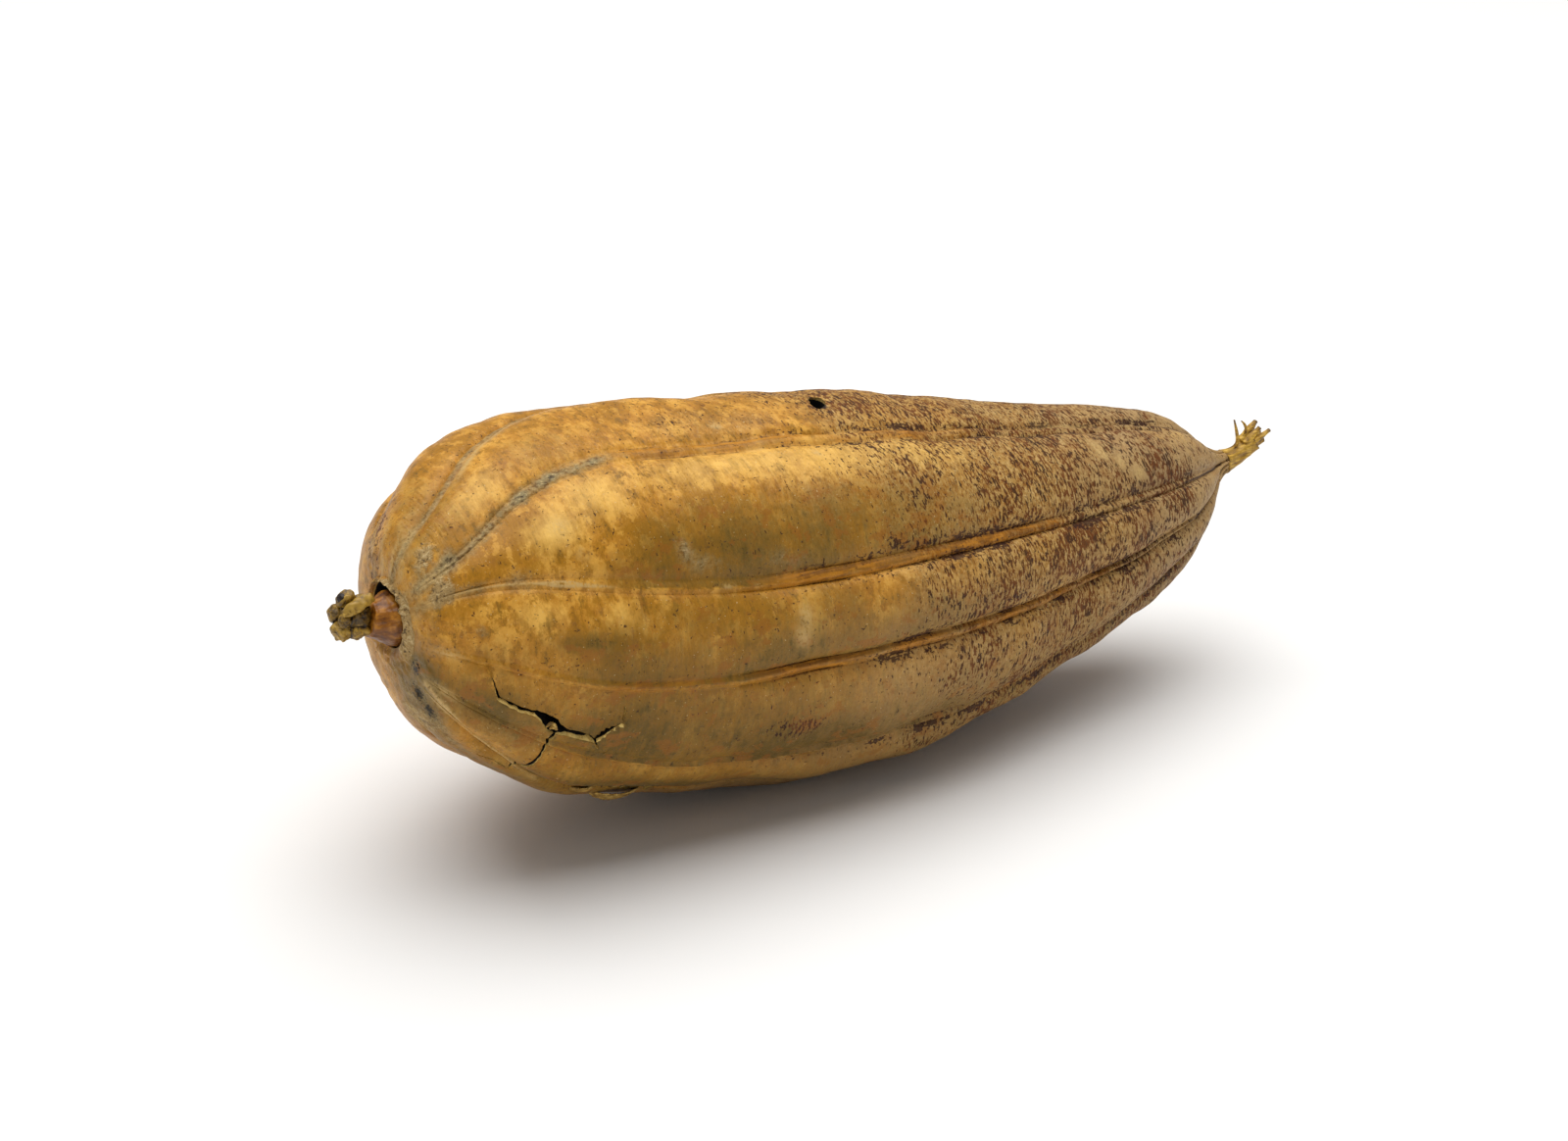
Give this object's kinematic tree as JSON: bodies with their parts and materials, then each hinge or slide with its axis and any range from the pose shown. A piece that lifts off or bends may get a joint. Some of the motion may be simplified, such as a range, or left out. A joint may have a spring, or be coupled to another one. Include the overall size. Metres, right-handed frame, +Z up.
{
  "type": "dried gourd pod",
  "caption": "Dried ribbed gourd pod lying on its side, with a cracked rind, a plugged blossom end with its withered flower, and a frayed stalk.",
  "frame": {"origin": "on the surface the pod lies on, under the middle of its bounding box", "axes": "+X along the pod towards the stalk, +Z up, -Y the side with the cracks"},
  "size_m": [0.184, 0.0615, 0.0649],
  "materials": {
    "rind": "dry satin rind, golden tan mottled with grey-green and speckled dark brown",
    "cap": "reddish-brown woody plug",
    "flower": "olive-yellow withered flower, rough, with black crevices",
    "stalk": "golden fibrous stalk, frayed"
  },
  "bodies": {
    "root": {"pod_body": "rind", "blossom_cap": "cap", "flower_remnant": "flower", "stalk": "stalk"}
  },
  "joints": []
}
